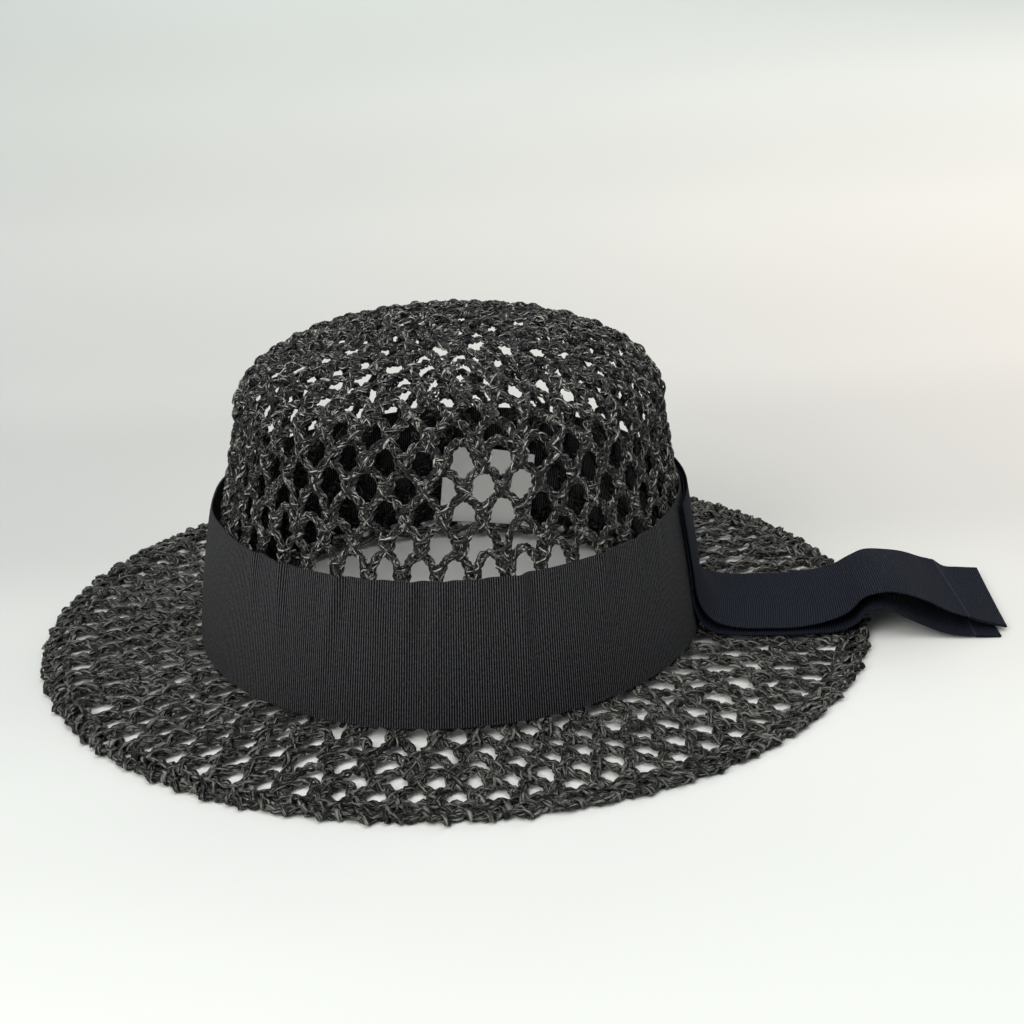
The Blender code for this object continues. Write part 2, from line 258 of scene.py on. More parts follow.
# Tails where they lie: near, middle and far point of the ribbon, x from the back of the crown's foot
UPPER_TAIL = (
    (0.9, -29.6, 13.4, 6.4, -3.8, 12.8, 4.0, 22.0, 12.2),
    (4.0, -30.2, 10.4, 9.2, -4.6, 9.6, 7.0, 21.0, 8.9),
    (8.6, -31.2, 8.7, 13.6, -6.0, 8.1, 11.8, 19.6, 7.5),
    (14.4, -32.6, 8.0, 19.2, -7.2, 7.5, 18.4, 18.2, 6.9),
    (24.4, -33.6, 7.8, 29.0, -8.0, 7.3, 29.0, 17.4, 6.75),
    (37.0, -34.0, 7.8, 41.4, -8.4, 7.2, 42.4, 17.0, 6.7),
    (47.7, -33.8, 9.5, 51.2, -8.2, 8.6, 52.8, 17.4, 7.3),
    (56.4, -33.0, 12.6, 59.4, -7.4, 10.9, 61.4, 18.2, 8.8),
    (63.3, -31.5, 18.2, 66.4, -6.0, 15.4, 68.8, 19.6, 11.9),
    (71.3, -31.0, 19.6, 73.6, -5.6, 17.6, 75.0, 20.0, 14.2),
    (79.1, -31.0, 18.4, 82.0, -5.6, 16.8, 84.2, 20.0, 13.6),
    (89.1, -31.0, 14.3, 90.8, -5.6, 13.6, 92.0, 20.0, 12.0),
    (97.2, -31.5, 9.9, 98.4, -6.0, 10.0, 99.2, 19.6, 9.4),
    (104.9, -32.0, 7.0, 104.6, -6.4, 7.4, 104.3, 19.2, 7.7),
    (107.4, -32.2, 6.2, 107.6, -6.8, 5.9, 107.9, 18.6, 5.4),
    (112.9, -32.5, 4.6, 113.8, -7.2, 4.5, 115.4, 18.4, 4.3),
    (120.2, -33.0, 2.7, 121.6, -7.4, 3.0, 123.2, 18.4, 3.5),
)
LOWER_TAIL = (
    (-0.2, -31.0, 8.9, 4.8, -5.0, 8.6, 2.4, 21.0, 8.4),
    (3.6, -32.2, 6.5, 8.6, -6.4, 6.3, 6.4, 19.6, 6.1),
    (9.2, -33.4, 5.8, 14.2, -8.0, 5.7, 12.6, 17.8, 5.6),
    (22.2, -35.0, 5.6, 26.8, -9.6, 5.5, 27.0, 15.8, 5.45),
    (41.5, -35.6, 5.4, 45.2, -10.4, 5.3, 46.6, 15.0, 5.3),
    (53.4, -35.2, 5.9, 56.4, -10.0, 5.5, 58.0, 15.4, 5.35),
    (59.8, -34.6, 8.4, 62.4, -9.2, 7.2, 64.4, 16.2, 5.9),
    (64.2, -33.8, 12.9, 67.0, -8.4, 11.0, 69.4, 17.0, 8.2),
    (71.0, -33.5, 13.5, 73.6, -8.2, 12.2, 75.8, 17.2, 9.9),
    (77.0, -34.0, 10.7, 79.8, -8.8, 10.0, 82.2, 16.6, 8.6),
    (86.0, -34.7, 6.2, 88.2, -9.4, 6.1, 90.2, 16.0, 5.7),
    (95.2, -36.0, 2.7, 96.8, -10.6, 2.9, 98.4, 14.8, 3.1),
    (105.1, -37.0, 1.2, 106.2, -11.6, 1.3, 107.4, 13.8, 1.4),
    (116.6, -37.5, 0.95, 117.2, -12.0, 0.95, 118.0, 13.4, 0.95),
)

# Camera, found by fitting the hat's outlines: place in millimetres, angles in degrees
CAMERA_PLACE = (0.3, -650.1, 335.8)
CAMERA_YAW = 2.254
CAMERA_PITCH = 23.833
CAMERA_ROLL = -2.017
CAMERA_LENS = 62.57

# Painted light and shade on the studio paper, which stand in for the lamps' falloff: metres behind the
# crown, share of its full lightness
PAPER_PAINTED_SHADE = (
    (-0.30, 1.0),
    (-0.12, 0.96),
    (0.0, 0.83),
    (0.10, 0.71),
    (0.21, 0.71),
    (0.32, 0.77),
    (0.70, 0.89),
    (1.20, 1.0),
)
# Studio paper's shape in metres: half its width, where the floor ends, and the curve up into the backdrop
FLOOR_HALF = 3.0
FLOOR_BACK = 2.1
CURVE_RADIUS = 0.8
CURVE_DEGREES = 85
BACKDROP_RISE = (0.0, 0.2, 2.6)
# Soft lights: name, place and aim in metres, side in metres, watts, tint
SOFTBOXES = (
    ("key_softbox", (-0.95, -1.1, 1.15), (0.0, 0.0, 0.05), 0.9, 16.0, (1.0, 0.97, 0.94)),
    ("fill_softbox", (1.25, 0.95, 0.85), (0.2, 0.0, 0.0), 0.9, 5.5, (1.0, 0.98, 0.92)),
    ("top_softbox", (0.0, -0.5, 1.7), (0.0, -0.1, 0.05), 1.2, 13.4, (1.0, 1.0, 1.0)),
    ("right_softbox", (0.45, 0.12, 0.72), (1.2, 0.95, 0.0), 0.4, 3.3, (1.0, 0.72, 0.62)),
    ("back_softbox", (0.0, 2.5, 1.5), (0.2, 2.4, 0.0), 1.4, 11.5, (0.95, 1.0, 0.97)),
)
# Narrow light on the crown: place and aim in metres, watts, degrees, softness, radius in metres
SPOT_PLACE = (-0.1, -0.75, 1.15)
SPOT_AIM = (-0.025, 0.0, 0.08)
SPOT_POWER = 22.0
SPOT_SPREAD = 8.5
SPOT_BLEND = 0.7
SPOT_RADIUS = 0.12
AIR_TINT = (0.86, 0.93, 1.0, 1.0)
AIR_STRENGTH = 0.3


class HatSettings(PropertyGroup):
    """Sizes and colours of the hat's dressing that a user would change."""

    yarn_width: FloatProperty(
        name="Crown yarn width", description="Width of one flattened strand of the crown's paper yarn",
        default=0.0016, unit="LENGTH")
    yarn_thickness: FloatProperty(
        name="Crown yarn thickness", description="Thickness of one flattened strand of the crown's yarn",
        default=0.0008, unit="LENGTH")
    soft_width: FloatProperty(
        name="Brim yarn width", description="Width of one strand of the brim's softer yarn",
        default=0.002, unit="LENGTH")
    soft_thickness: FloatProperty(
        name="Brim yarn thickness", description="Thickness of one strand of the brim's softer yarn",
        default=0.0011, unit="LENGTH")
    thick_width: FloatProperty(
        name="Edge yarn width", description="Width of one strand of the edge's thicker yarn",
        default=0.0025, unit="LENGTH")
    thick_thickness: FloatProperty(
        name="Edge yarn thickness", description="Thickness of one strand of the edge's yarn",
        default=0.0012, unit="LENGTH")
    plait_reach: FloatProperty(
        name="Plait reach", description="How far a strand swings to each side in the plait",
        default=0.0019, unit="LENGTH")
    plait_rise: FloatProperty(
        name="Plait rise", description="How far a strand passes over and under the others",
        default=0.00055, unit="LENGTH")
    stitch_length: FloatProperty(
        name="Stitch length", description="Length of one full turn of the plait",
        default=0.0165, unit="LENGTH")
    ring_spacing: FloatProperty(
        name="Ring spacing", description="Distance between the rings of points along a strand",
        default=0.0012, unit="LENGTH")
    rib_pitch: FloatProperty(
        name="Rib pitch", description="Distance between the ribs of the grosgrain",
        default=0.0009, unit="LENGTH")
    yarn_colour: StringProperty(
        name="Yarn colour", description="Colour of the paper yarn as an sRGB hex value",
        default="#0c0c0d")
    # Pale colour painted on the yarn's raised folds as glints
    glint_colour: StringProperty(
        name="Glint colour", description="Colour of the yarn's raised folds as an sRGB hex value",
        default="#aeada5")
    ribbon_colour: StringProperty(
        name="Band colour", description="Colour of the ribbon band as an sRGB hex value",
        default="#161617")
    # The tails' ribbon is the band's, painted darker and bluer as shade, standing for the sheen its
    # lengthwise fibres turn away from the lamps
    tail_shade_colour: StringProperty(
        name="Tail colour", description="Colour of the ribbon tails as an sRGB hex value",
        default="#0a0c11")
    label_colour: StringProperty(
        name="Label colour", description="Colour of the care label as an sRGB hex value",
        default="#fafaf7")
    floor_colour: StringProperty(
        name="Floor colour", description="Colour of the stage as an sRGB hex value",
        default="#f4f6f1")
    seed: IntProperty(name="Seed", description="Seed of the small unevenness of the stitches", default=7)


def to_linear(hex_colour):
    """An sRGB hex value as linear red, green, blue and a full alpha."""
    parts = [int(hex_colour[i:i + 2], 16) / 255 for i in (1, 3, 5)]
    return [p / 12.92 if p <= 0.04045 else ((p + 0.055) / 1.055) ** 2.4 for p in parts] + [1.0]


def toned(colour, tone):
    """A linear colour made lighter or darker, its alpha kept."""
    return [c * tone for c in colour[:3]] + [1.0]


def feed(tree, node, inputs):
    """Fills a node's inputs. One given as a (node, output) pair is linked, and any other is set."""
    for key, value in inputs.items():
        if isinstance(value, tuple) and len(value) == 2 and isinstance(value[0], bpy.types.Node):
            tree.links.new(value[0].outputs[value[1]], node.inputs[key])
        else:
            node.inputs[key].default_value = value


def add_node(tree, kind, inputs=None, **settings):
    """Adds a node with its settings and inputs."""
    made = tree.nodes.new(kind)
    for key, value in settings.items():
        setattr(made, key, value)
    feed(tree, made, inputs or {})
    return made


def new_material(name):
    material = bpy.data.materials.new(name)
    material.use_nodes = True
    tree = material.node_tree
    return material, tree, tree.nodes["Principled BSDF"]


def paper_yarn(name, tone, glint_tone, shine, fold_length, crinkle, ramp_low, ramp_high):
    """Twisted paper yarn: a crinkled strip, dyed black, its raised folds glossy and painted pale as glints.
    """
    if name in bpy.data.materials:
        return bpy.data.materials[name]
    material, tree, shader = new_material(name)
    along = add_node(tree, "ShaderNodeAttribute", attribute_name="yarn_along")
    section = add_node(tree, "ShaderNodeAttribute", attribute_name="yarn_section")
    run = add_node(tree, "ShaderNodeCombineXYZ", {"Z": (along, "Fac")})
    place = add_node(
        tree, "ShaderNodeVectorMath", {0: (section, "Vector"), 1: (run, "Vector")}, operation="ADD")
    # Lengthwise folds, about four round the strand
    stretch = add_node(
        tree, "ShaderNodeMapping", {"Vector": (place, "Vector"), "Scale": (1.15, 1.15, 1 / fold_length)})
    folds = add_node(
        tree, "ShaderNodeTexNoise",
        {"Vector": (stretch, "Vector"), "Scale": 1.0, "Detail": 2.0, "Roughness": 0.6})
    # Crinkles across the strand, about 1 mm apart
    tight = add_node(tree, "ShaderNodeMapping", {"Vector": (place, "Vector"), "Scale": (0.7, 0.7, 1.1)})
    crinkles = add_node(
        tree, "ShaderNodeTexNoise", {"Vector": (tight, "Vector"), "Scale": 1.0, "Detail": 2.0})
    height = add_node(
        tree, "ShaderNodeMath", {0: (crinkles, "Fac"), 1: crinkle, 2: (folds, "Fac")},
        operation="MULTIPLY_ADD")
    # Near black, with a pale colour painted on the raised folds as glints
    ramp = add_node(tree, "ShaderNodeValToRGB", {"Fac": (height, "Value")})
    low, high = ramp.color_ramp.elements
    low.position = ramp_low
    low.color = toned(to_linear(bpy.context.scene.hat.yarn_colour), tone)
    high.position = ramp_high
    high.color = toned(to_linear(bpy.context.scene.hat.glint_colour), glint_tone)
    gloss = add_node(
        tree, "ShaderNodeMapRange",
        {"Value": (height, "Value"), "From Min": 0.6, "From Max": 0.85, "To Min": 0.45, "To Max": 0.2})
    bump = add_node(
        tree, "ShaderNodeBump", {"Height": (height, "Value"), "Strength": 1.0, "Distance": 1.2 * MM})
    feed(tree, shader, {
        "Base Color": (ramp, "Color"),
        "Roughness": (gloss, "Result"),
        "Normal": (bump, "Normal"),
        "Specular IOR Level": shine,
    })
    return material


def crown_yarn():
    return paper_yarn(
        "Glossy twisted paper yarn", tone=0.7, glint_tone=1.15, shine=0.42, fold_length=6.0, crinkle=0.25,
        ramp_low=0.67, ramp_high=0.80)


def shaded_inner_yarn():
    """The yarn behind the band: the crown's yarn painted darker, its painted glints faint, as the shade
    inside the crown.
    """
    return paper_yarn(
        "Shade-darkened twisted paper yarn", tone=0.6, glint_tone=0.3, shine=0.2, fold_length=6.0, crinkle=0.25,
        ramp_low=0.67, ramp_high=0.80)


def brim_yarn():
    # The brim's yarn, its painted glints fainter and broader than the crown's
    return paper_yarn(
        "Dull twisted paper yarn", tone=0.8, glint_tone=0.72, shine=0.25, fold_length=8.0, crinkle=0.2,
        ramp_low=0.57, ramp_high=0.82)


def grosgrain(name, colour, gloss, rib_valley_shade, rib_crest_light, rib_foot, crease=-1.0):
    """Grosgrain ribbon: polyester with woven ribs across its width, matte, with painted sheen along a
    crease.

    The rib tones are painted: dark shade in the hollows between the ribs, light on the tops of the ribs.
    Crease is a place along it in metres.
    """
    material, tree, shader = new_material(name)
    colour = to_linear(colour)
    cloth = add_node(tree, "ShaderNodeUVMap", uv_map="ribbon")
    # The UV map is in metres: x along the ribbon, y across it
    ribs = add_node(
        tree, "ShaderNodeTexWave",
        {"Vector": (cloth, "UV"), "Scale": WAVE_UNIT / bpy.context.scene.hat.rib_pitch, "Distortion": 0.6,
         "Detail": 1.0, "Detail Scale": 2.0},
        wave_type="BANDS", bands_direction="X", wave_profile="SIN")
    # Fuzz of the fibres, drawn coarser than real so that it shows
    fuzz = add_node(
        tree, "ShaderNodeTexNoise", {"Vector": (cloth, "UV"), "Scale": FUZZ_PER_MM / MM, "Detail": 2.0})
    threads = add_node(
        tree, "ShaderNodeMath", {0: (fuzz, "Fac"), 1: 0.9, 2: (ribs, "Fac")}, operation="MULTIPLY_ADD")
    shade = add_node(
        tree, "ShaderNodeMapRange", {"Value": (threads, "Value"), "From Min": rib_foot, "From Max": 1.5})
    # Ribs' tones: painted shade in the hollows between them and painted light on their tops
    ramp = add_node(tree, "ShaderNodeValToRGB", {"Fac": (shade, "Result")})
    ramp.color_ramp.elements[0].color = toned(colour, rib_valley_shade)
    ramp.color_ramp.elements[1].color = toned(colour, rib_crest_light)
    # A pale line painted along the pressed crease: painted sheen on the fold's ridge
    along = add_node(tree, "ShaderNodeSeparateXYZ", {"Vector": (cloth, "UV")})
    beside = add_node(
        tree, "ShaderNodeMath", {0: (along, "X"), 1: crease, 2: CREASE_REACH * MM}, operation="COMPARE")
    sheen_line = add_node(tree, "ShaderNodeMath", {0: (beside, "Value"), 1: CREASE_SHEEN}, operation="MULTIPLY")
    pale = add_node(
        tree, "ShaderNodeMix",
        {"Factor": (sheen_line, "Value"), 6: (ramp, "Color"), 7: toned(colour, CREASE_TONE)}, data_type="RGBA")
    rough = add_node(tree, "ShaderNodeMath", {0: (ribs, "Fac"), 1: (fuzz, "Fac")}, operation="ADD")
    bump = add_node(
        tree, "ShaderNodeBump", {"Height": (rough, "Value"), "Strength": 1.0, "Distance": 0.3 * MM})
    feed(tree, shader, {
        "Base Color": (pale, 2),
        "Normal": (bump, "Normal"),
        "Roughness": 0.75,
        "Specular IOR Level": gloss,
        "Sheen Weight": gloss * 0.4,
        "Sheen Roughness": 0.4,
    })
    return material


def band_ribbon():
    return grosgrain(
        "Woven grosgrain ribbon of the band", bpy.context.scene.hat.ribbon_colour, gloss=0.06, rib_valley_shade=0.3,
        rib_crest_light=11.2, rib_foot=0.8)


# The tails: the band's grosgrain painted darker and bluer as shade
def tail_ribbon(name, crease):
    return grosgrain(
        "Woven grosgrain of " + name, bpy.context.scene.hat.tail_shade_colour, gloss=0.03, rib_valley_shade=1.6, rib_crest_light=7.5,
        rib_foot=0.5, crease=crease)


def label_cloth():
    """Care label: thin white woven tape, matte, its weave a little uneven."""
    material, tree, shader = new_material("White woven label tape")
    colour = to_linear(bpy.context.scene.hat.label_colour)
    cloth = add_node(tree, "ShaderNodeUVMap", uv_map="ribbon")
    # Weave, drawn coarser than real so that it shows
    weave = add_node(
        tree, "ShaderNodeTexNoise", {"Vector": (cloth, "UV"), "Scale": WEAVE_PER_MM / MM, "Detail": 2.0})
    ramp = add_node(tree, "ShaderNodeValToRGB", {"Fac": (weave, "Fac")})
    ramp.color_ramp.elements[0].color = toned(colour, LABEL_SHADE)
    ramp.color_ramp.elements[1].color = colour
    bump = add_node(
        tree, "ShaderNodeBump", {"Height": (weave, "Fac"), "Strength": 0.3, "Distance": 0.1 * MM})
    feed(tree, shader, {"Base Color": (ramp, "Color"), "Normal": (bump, "Normal"), "Roughness": 0.75})
    return material


def studio_paper():
    """Studio paper: matte white, its tone eased from the floor to the backdrop, painted darker just behind
    the hat and lighter in front and far back, as the lamps' falloff.
    """
    material, tree, shader = new_material("Matte white studio paper")
    paper = to_linear(bpy.context.scene.hat.floor_colour)
    nearest, furthest = PAPER_PAINTED_SHADE[0][0], PAPER_PAINTED_SHADE[-1][0]
    place = add_node(tree, "ShaderNodeTexCoord")
    spot = add_node(tree, "ShaderNodeSeparateXYZ", {"Vector": (place, "Object")})
    depth = add_node(
        tree, "ShaderNodeMapRange", {"Value": (spot, "Y"), "From Min": nearest, "From Max": furthest})
    ramp = add_node(tree, "ShaderNodeValToRGB", {"Fac": (depth, "Result")})
    ramp.color_ramp.interpolation = "EASE"
    stops = ramp.color_ramp.elements
    while len(stops) < len(PAPER_PAINTED_SHADE):
        stops.new(0.5)
    # The stops are sorted as they move, so their colours are given afterwards
    for stop, (metres, _) in zip(stops, PAPER_PAINTED_SHADE):
        stop.position = (metres - nearest) / (furthest - nearest)
    for stop, (_, tone) in zip(stops, PAPER_PAINTED_SHADE):
        stop.color = toned(paper, tone)
    feed(tree, shader, {"Base Color": (ramp, "Color"), "Roughness": 0.85, "Specular IOR Level": 0.2})
    return material


def crown_table():
    """Rows of (distance from the tip, half-length, half-width, height, lean), from the tip to the foot."""
    rows = []
    for step in range(SHOULDER_STEPS, 0, -1):
        turn = math.pi / 2 * step / SHOULDER_STEPS
        out = max(math.cos(turn), 0.0) ** (2 / SHOULDER_POWER_OUT)
        rise = math.sin(turn) ** (2 / SHOULDER_POWER_UP)
        rows.append((
            CROWN_TOP_HALF_LENGTH * out,
            CROWN_TOP_HALF_WIDTH * out,
            SHOULDER_HEIGHT + (CROWN_HEIGHT - SHOULDER_HEIGHT) * rise,
            CROWN_LEAN,
        ))
    for step in range(WALL_STEPS + 1):
        share = 1 - step / WALL_STEPS
        rows.append((
            CROWN_HALF_LENGTH + (CROWN_TOP_HALF_LENGTH - CROWN_HALF_LENGTH) * share,
            CROWN_HALF_WIDTH + (CROWN_TOP_HALF_WIDTH - CROWN_HALF_WIDTH) * share,
            CROWN_FOOT_HEIGHT + (SHOULDER_HEIGHT - CROWN_FOOT_HEIGHT) * share,
            CROWN_LEAN * share,
        ))
    table = np.array(rows)
    steps = np.hypot(np.diff(table[:, 0]), np.diff(table[:, 2]))
    return np.column_stack((np.concatenate(([0.0], np.cumsum(steps))), table))


CROWN = crown_table()
CROWN_RUN = CROWN[-1, 0]


def crown_place(turn, distance):
    length, width, height, lean = [np.interp(distance, CROWN[:, 0], CROWN[:, k]) for k in (1, 2, 3, 4)]
    return np.stack((lean + length * np.cos(turn), width * np.sin(turn), height), axis=-1)


def crown_at(height, column):
    """A column of the crown's table at a height up its wall."""
    return np.interp(height, CROWN[::-1, 3], CROWN[::-1, column])


def brim_place(turn, share):
    inner_length = CROWN_HALF_LENGTH - BRIM_INNER_MARGIN
    inner_width = CROWN_HALF_WIDTH - BRIM_INNER_MARGIN
    length = inner_length + (BRIM_HALF_LENGTH - EDGE_WIDTH - inner_length) * share
    width = inner_width + (BRIM_HALF_WIDTH - EDGE_WIDTH - inner_width) * share
    height = BRIM_FOOT_MIDDLE + (BRIM_RIM_MIDDLE - BRIM_FOOT_MIDDLE) * share
    return np.stack(
        (BRIM_CENTRE_X * share + length * np.cos(turn), width * np.sin(turn), height + 0.0 * turn), axis=-1)


def edge_place(turn, inward):
    length = BRIM_HALF_LENGTH - inward
    width = BRIM_HALF_WIDTH - inward
    return np.stack(
        (BRIM_CENTRE_X + length * np.cos(turn), width * np.sin(turn), EDGE_MIDDLE + 0.0 * turn), axis=-1)


# Each surface, with the small step of distance that its slope is measured over
CROWN_WALL = (crown_place, 0.5)
BRIM_SHEET = (brim_place, 0.01)
EDGE_ROPE = (edge_place, 0.5)


def unit(vectors):
    return vectors / np.maximum(np.linalg.norm(vectors, axis=-1, keepdims=True), 1e-9)


def lengths(points):
    """The distance along a line of points to each of them."""
    return np.concatenate(([0.0], np.cumsum(np.linalg.norm(np.diff(points, axis=0), axis=1))))


def surface(ground, turn, distance):
    """Points on a surface, their outward normals and the unit direction of growing distance."""
    place, step = ground
    points = place(turn, distance)
    around = place(turn + SMALL_TURN, distance) - place(turn - SMALL_TURN, distance)
    outward = place(turn, distance + step) - place(turn, distance - step)
    return points, unit(np.cross(outward, around)), unit(outward)


def crown_off(turn, height, off):
    """A point beside the crown's wall, off millimetres out from its middle surface."""
    slope = (CROWN_RUN - crown_at(SHOULDER_HEIGHT, 0)) / (SHOULDER_HEIGHT - CROWN_FOOT_HEIGHT)
    distance = CROWN_RUN - (np.asarray(height) - CROWN_FOOT_HEIGHT) * slope
    turn = np.atleast_1d(np.asarray(turn, dtype=float))
    distance = np.broadcast_to(distance, turn.shape).astype(float)
    points, normals, _ = surface(CROWN_WALL, turn, distance)
    return points + normals * np.reshape(off, (-1, 1))


def to_frame(points):
    """Millimetres from the crown's axis to the model's own metres."""
    return (np.asarray(points) + np.array((CROWN_AXIS_X, 0.0, 0.0))) * MM


class YarnWork:
    """Collects strands as closed lines, and turns them into flattened tubes in one mesh."""

    def __init__(self):
        self.points = []
        self.faces = []
        self.widths = []
        self.along = []
        self.edges = []
        self.count = 0

    def strand(self, points, faces, widths, start):
        size = len(points)
        self.points.append(points)
        self.faces.append(faces)
        self.widths.append(widths)
        self.along.append(start + lengths(points))
        index = np.arange(size - 1) + self.count
        self.edges.append(np.column_stack((index, index + 1)))
        self.edges.append(np.array([[self.count + size - 1, self.count]]))
        self.count += size

    def finish(self, name, sides, width, thickness, material, smooth):
        lines = bpy.data.meshes.new(name + "_lines")
        lines.from_pydata(to_frame(np.concatenate(self.points)), np.concatenate(self.edges).tolist(), [])
        for key, kind, field, parts in (
                ("yarn_face", "FLOAT_VECTOR", "vector", self.faces),
                ("yarn_width", "FLOAT", "value", self.widths),
                ("yarn_along", "FLOAT", "value", self.along)):
            layer = lines.attributes.new(key, kind, "POINT")
            layer.data.foreach_set(field, np.concatenate(parts).astype(np.float32).ravel())
        holder = bpy.data.objects.new(name + "_lines", lines)
        bpy.context.scene.collection.objects.link(holder)
        modifier = holder.modifiers.new("yarn", "NODES")
        modifier.node_group = yarn_tubes(name, sides, width, thickness)
        graph = bpy.context.evaluated_depsgraph_get()
        mesh = bpy.data.meshes.new_from_object(
            holder.evaluated_get(graph), preserve_all_data_layers=True, depsgraph=graph)
        mesh.name = name
        bpy.data.objects.remove(holder, do_unlink=True)
        mesh.materials.clear()
        mesh.polygons.foreach_set("use_smooth", [smooth] * len(mesh.polygons))
        print(name, "triangles", sum(len(p.vertices) - 2 for p in mesh.polygons))
        return add_piece(name, mesh, material)


def add_piece(name, mesh, material):
    mesh.materials.append(material)
    made = bpy.data.objects.new(name, mesh)
    bpy.context.scene.collection.objects.link(made)
    return made


def yarn_tubes(name, sides, width, thickness):
    """Geometry nodes that sweep a flat ring along each line, its flat side turned to the stored normal."""
    tree = bpy.data.node_groups.new(name + "_tubes", "GeometryNodeTree")
    tree.interface.new_socket("Geometry", in_out="INPUT", socket_type="NodeSocketGeometry")
    tree.interface.new_socket("Geometry", in_out="OUTPUT", socket_type="NodeSocketGeometry")
    lines = add_node(tree, "NodeGroupInput")
    curves = add_node(tree, "GeometryNodeMeshToCurve", {"Mesh": (lines, "Geometry")})
    face = add_node(
        tree, "GeometryNodeInputNamedAttribute", {"Name": "yarn_face"}, data_type="FLOAT_VECTOR")
    scale = add_node(tree, "GeometryNodeInputNamedAttribute", {"Name": "yarn_width"}, data_type="FLOAT")
    turned = add_node(
        tree, "GeometryNodeSetCurveNormal", {"Curve": (curves, "Curve"), "Normal": (face, "Attribute")},
        mode="FREE")
    ring = add_node(tree, "GeometryNodeCurvePrimitiveCircle", {"Resolution": sides, "Radius": 1.0})
    spot = add_node(tree, "GeometryNodeInputPosition")
    marked = add_node(
        tree, "GeometryNodeStoreNamedAttribute",
        {"Geometry": (ring, "Curve"), "Name": "yarn_section", "Value": (spot, "Position")},
        data_type="FLOAT_VECTOR", domain="POINT")
    flat = add_node(
        tree, "GeometryNodeTransform",
        {"Geometry": (marked, "Geometry"), "Scale": (thickness / 2, width / 2, 1.0)})
    tubes = add_node(
        tree, "GeometryNodeCurveToMesh",
        {"Curve": (turned, "Curve"), "Profile Curve": (flat, "Geometry"), "Scale": (scale, "Attribute"),
         "Fill Caps": True})
    add_node(tree, "NodeGroupOutput", {"Geometry": (tubes, "Mesh")})
    return tree


class Round:
    """One closed round of arches. Their feet stand on the arch tops of the round before it.

    Start is the distance of the first round's feet, gap how far other feet pass the tops that they stand
    on, and jitter how far the tops stray.
    """

    def __init__(self, top, arches, before, draw, start, gap, jitter):
        if before is None:
            shift = draw.uniform(-FOOT_JITTER, FOOT_JITTER, arches)
            feet = 2 * math.pi * (np.arange(arches) + shift) / arches
            standing = np.full(arches, start)
        else:
            feet = before.tops_kept(arches, draw)
            standing = before.level(feet) - gap
        step = np.arange(arches * ARCH_SAMPLES) / ARCH_SAMPLES
        index = step.astype(int)
        local = step - index
        following = (index + 1) % arches
        span = (feet[following] - feet[index]) % (2 * math.pi)
        tops = top + draw.uniform(-jitter, jitter, arches)
        leg = np.array(LEG_LINE)
        run = np.concatenate(([0.0], np.cumsum(np.hypot(*(np.diff(leg, axis=0) * LEG_WEIGHTS).T))))
        way = (1 - np.abs(1 - 2 * local)) * run[-1]
        across = np.interp(way, run, leg[:, 0])
        up = np.interp(way, run, leg[:, 1])
        # Legs stay as close together under a wide arch as under a narrow one
        across = across * (1 + (span.mean() / span[::ARCH_SAMPLES][index] - 1) * (1 - across))
        turn = feet[index] + span * np.where(local < 0.5, across / 2, 1 - across / 2)
        foot = standing[index] * (1 - local) + standing[following] * local
        distance = foot + (tops[index] - foot) * up
        self.feet = feet
        self.standing = standing
        self.arches = arches
        self.tops = feet + span[::ARCH_SAMPLES] * 0.5
        self.parting = standing + (top - standing) * LEGS_PART
        self.turn = rounded(turn, 2 * math.pi)
        self.distance = rounded(distance, 0.0)

    def tops_kept(self, arches, draw):
        """Angles of some of the arch tops, as many as the next round has arches, the gaps shared out."""
        drop = self.arches - arches
        spots = np.arange(drop) + draw.uniform(0.25, 0.75, drop) + draw.uniform()
        chosen = (spots * self.arches / max(drop, 1)).astype(int) % self.arches
        kept = np.delete(np.arange(self.arches), chosen)
        tops = np.unwrap(self.tops)[kept]
        for _ in range(EASINGS):
            tops = rounded(tops, 2 * math.pi)
        return tops

    def level(self, turn):
        """The round's distance at some angles."""
        wrapped = self.turn % (2 * math.pi)
        order = np.argsort(wrapped)
        return np.interp(turn % (2 * math.pi), wrapped[order], self.distance[order], period=2 * math.pi)


def rounded(line, whole):
    """A closed line with its corners eased, which grows by a whole turn in each round."""
    before = np.concatenate((line[-1:] - whole, line[:-1]))
    after = np.concatenate((line[1:], line[:1] + whole))
    return (before + 2 * line + after) / 4


def uneven(draw, size, height, reach):
    """Closed random waves of about that height, reach samples long."""
    knots = max(int(size / reach), 3)
    values = draw.uniform(-1.0, 1.0, knots)
    spot = np.arange(size) / size * knots
    index = spot.astype(int)
    share = spot - index
    share = share * share * (3 - 2 * share)
    return height * (values[index] * (1 - share) + values[(index + 1) % knots] * share)


